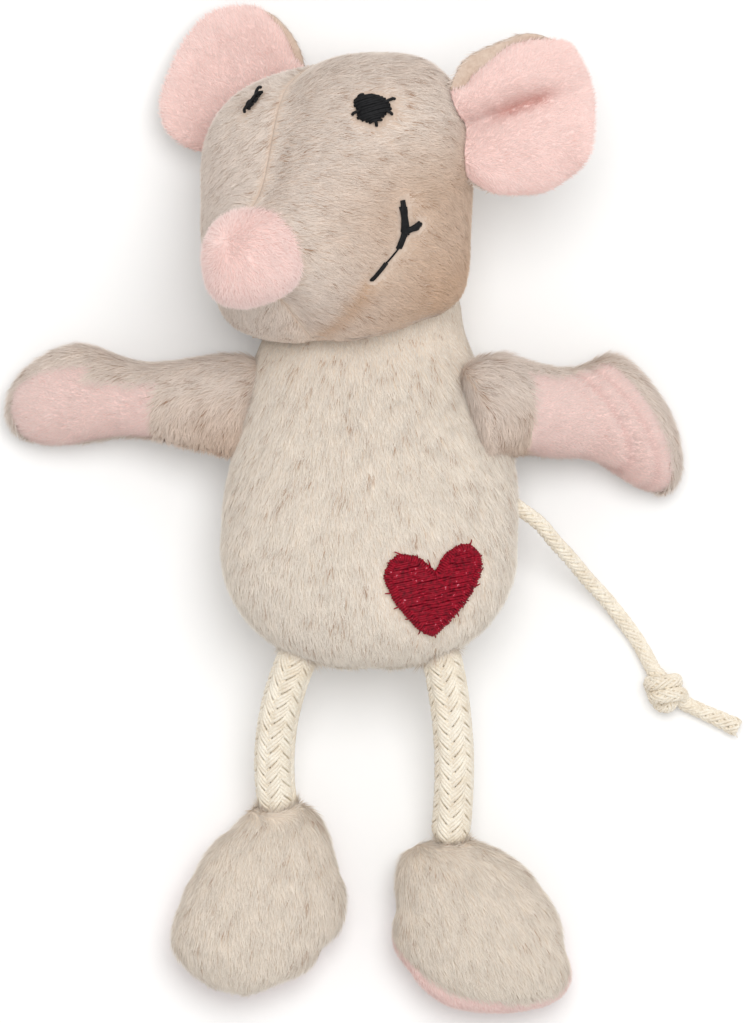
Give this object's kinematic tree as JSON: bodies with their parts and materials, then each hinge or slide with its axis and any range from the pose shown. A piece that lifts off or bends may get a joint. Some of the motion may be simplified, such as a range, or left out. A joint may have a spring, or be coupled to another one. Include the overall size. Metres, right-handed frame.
{
  "type": "plush mouse toy",
  "caption": "Plush mouse toy lying on its back: stuffed body, head, paws and feet, rope legs, knotted cord tail, round ears and a heart stitched on the belly.",
  "frame": {"origin": "on the flat patch of the body's back that presses on the floor, under the middle of the trunk", "axes": "+Z out of the belly, +Y to the head, +X to the mouse's own left, where the tail is"},
  "size_m": [0.1088, 0.1504, 0.0451],
  "materials": {
    "cream_plush": "matte",
    "taupe_plush": "matte",
    "pink_plush": "matte",
    "cotton_rope": "matte",
    "burgundy_thread": "satin",
    "black_thread": "satin",
    "cream_thread": "satin",
    "fibre_fill": "matte",
    "muslin": "matte",
    "dried_herb": "matte"
  },
  "bodies": {
    "body": {"body_front_panel": "cream_plush", "body_back_panel": "cream_plush", "body_stuffing_front": "fibre_fill", "body_stuffing_back": "fibre_fill", "catnip_pouch_front": "muslin", "catnip_pouch_back": "muslin", "catnip_herb": "dried_herb", "heart_embroidery": "burgundy_thread"},
    "neck": {"neck_thread": "cream_thread"},
    "head": {"head_left_panel": "taupe_plush", "head_right_panel": "taupe_plush", "nose_cap": "pink_plush", "head_stuffing": "fibre_fill", "left_eye": "black_thread", "right_eye": "black_thread", "left_mouth": "black_thread", "right_mouth": "black_thread"},
    "left_ear": {"left_ear_front": "pink_plush", "left_ear_back": "taupe_plush"},
    "right_ear": {"right_ear_front": "pink_plush", "right_ear_back": "taupe_plush"},
    "left_arm": {"left_arm_back": "taupe_plush", "left_arm_front": "taupe_plush", "left_arm_paw": "pink_plush", "left_arm_stuffing": "fibre_fill"},
    "right_arm": {"right_arm_back": "taupe_plush", "right_arm_front": "taupe_plush", "right_arm_paw": "pink_plush", "right_arm_stuffing": "fibre_fill"},
    "left_leg": {"left_leg_rope": "cotton_rope"},
    "right_leg": {"right_leg_rope": "cotton_rope"},
    "left_foot": {"left_foot_upper": "taupe_plush", "left_foot_sole": "pink_plush", "left_foot_stuffing": "fibre_fill"},
    "right_foot": {"right_foot_upper": "taupe_plush", "right_foot_sole": "pink_plush", "right_foot_stuffing": "fibre_fill"},
    "tail": {"tail_cord": "cotton_rope", "tail_knot": "cotton_rope", "tail_tip": "cotton_rope"}
  },
  "joints": [
    {"name": "head_nod", "type": "hinge", "parent": "body", "child": "neck", "pos_m": [0, 0.024, 0.0105], "axis": [1, 0, 0], "range_deg": [-20, 20]},
    {"name": "head_turn", "type": "hinge", "parent": "neck", "child": "head", "pos_m": [0, 0.024, 0.0105], "axis": [0, 1, 0], "range_deg": [-35, 35]},
    {"name": "left_ear_flop", "type": "hinge", "parent": "head", "child": "left_ear", "pos_m": [0.01244, 0.05284, 0.02266], "axis": [-0.4384, 0.8988, 0], "range_deg": [-15, 30], "stiffness_Nm_per_rad": 0.002},
    {"name": "right_ear_flop", "type": "hinge", "parent": "head", "child": "right_ear", "pos_m": [-0.01431, 0.0545, 0.00441], "axis": [-0.7934, -0.6088, 0], "range_deg": [-15, 25], "stiffness_Nm_per_rad": 0.002},
    {"name": "left_arm_flap", "type": "hinge", "parent": "body", "child": "left_arm", "pos_m": [0.02023, 0.01433, 0.01175], "axis": [-0.2294, 0.9733, 0], "range_deg": [-80, 35]},
    {"name": "right_arm_flap", "type": "hinge", "parent": "body", "child": "right_arm", "pos_m": [-0.02023, 0.01433, 0.01175], "axis": [-0.2294, -0.9733, 0], "range_deg": [-80, 35]},
    {"name": "left_hip_swing", "type": "hinge", "parent": "body", "child": "left_leg", "pos_m": [0.0109, -0.02396, 0.01628], "axis": [1, 0, 0], "range_deg": [-75, 45]},
    {"name": "right_hip_swing", "type": "hinge", "parent": "body", "child": "right_leg", "pos_m": [-0.0109, -0.02396, 0.01628], "axis": [1, 0, 0], "range_deg": [-75, 45]},
    {"name": "left_ankle_swing", "type": "hinge", "parent": "left_leg", "child": "left_foot", "pos_m": [0.01219, -0.04858, 0.008], "axis": [1, 0, 0], "range_deg": [-40, 40]},
    {"name": "right_ankle_swing", "type": "hinge", "parent": "right_leg", "child": "right_foot", "pos_m": [-0.01374, -0.04415, 0.008], "axis": [1, 0, 0], "range_deg": [-40, 40]},
    {"name": "tail_swing", "type": "hinge", "parent": "body", "child": "tail", "pos_m": [0.02159, -0.0007, 0.01347], "axis": [0, 0, 1], "range_deg": [-30, 35]}
  ]
}
